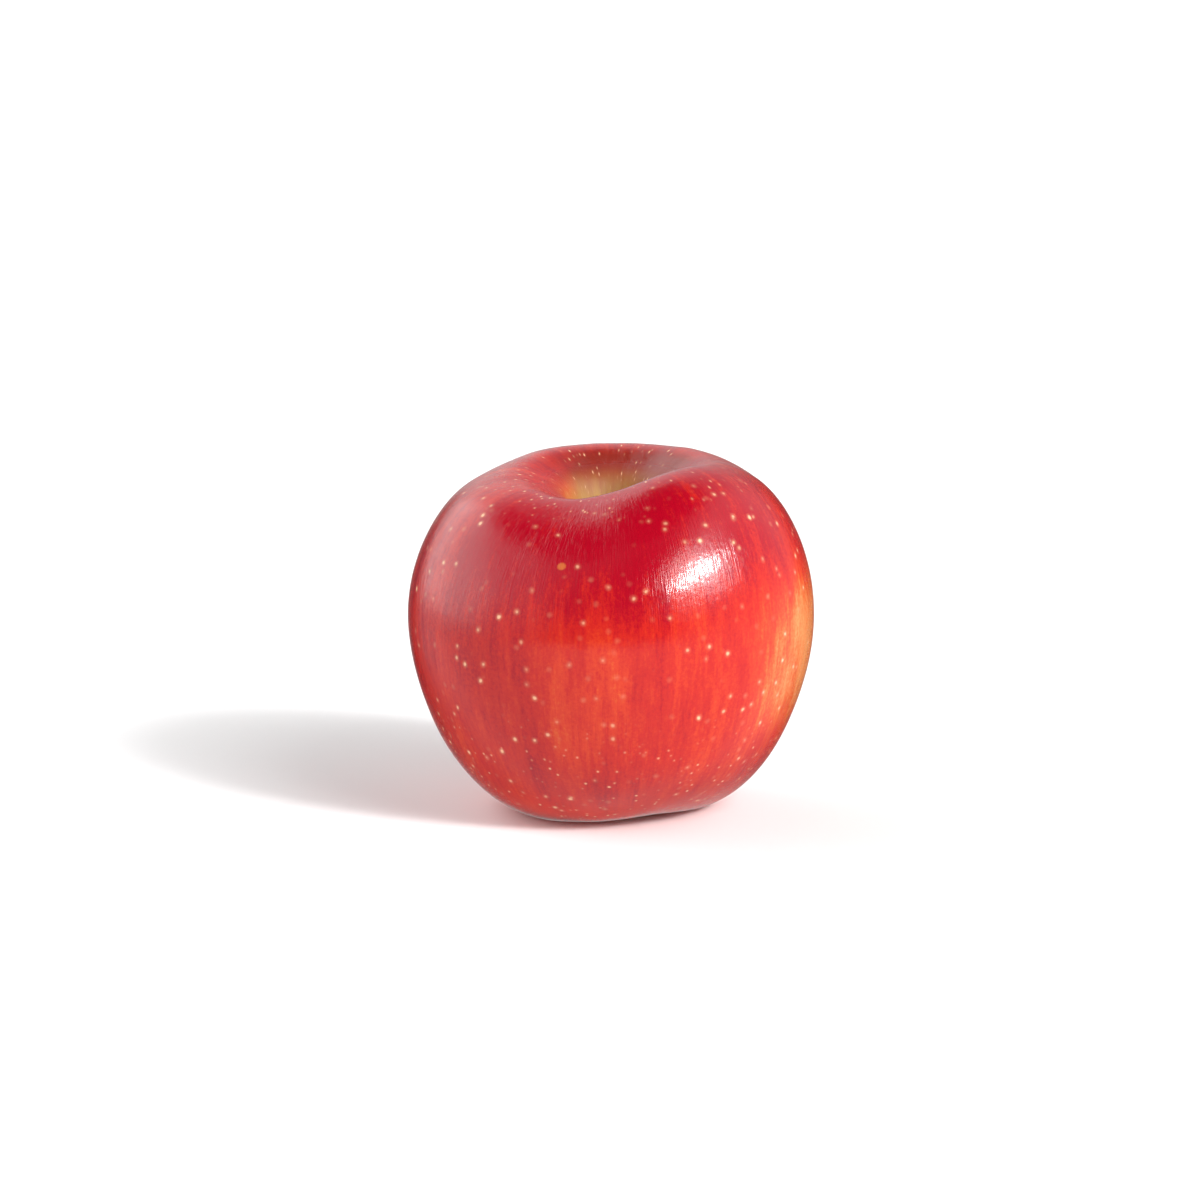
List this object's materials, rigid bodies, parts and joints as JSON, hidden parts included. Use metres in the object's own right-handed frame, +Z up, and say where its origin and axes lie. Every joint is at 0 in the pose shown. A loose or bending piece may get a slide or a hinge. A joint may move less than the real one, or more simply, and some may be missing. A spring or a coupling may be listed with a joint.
{
  "type": "apple",
  "caption": "Whole fresh red apple with uneven lobes, a deep stem well holding a short stem, and a dried calyx under its base.",
  "frame": {"origin": "on the surface that the apple rests on, under the middle of the fruit", "axes": "+Z up, from the calyx to the stem; the deepest valley of the shoulder faces -Y, +X to the right of it"},
  "size_m": [0.083, 0.083, 0.0725],
  "materials": {
    "skin": "glossy waxed apple skin, crimson to orange-red with fine streaks and pale dots",
    "stem": "dry woody stalk",
    "sepal": "dry brown leaf",
    "stamen": "dry dark brown threads"
  },
  "bodies": {
    "root": {"fruit": "skin", "stem": "stem", "sepal_1": "sepal", "sepal_2": "sepal", "sepal_3": "sepal", "sepal_4": "sepal", "sepal_5": "sepal", "stamen_tuft": "stamen"}
  },
  "joints": []
}
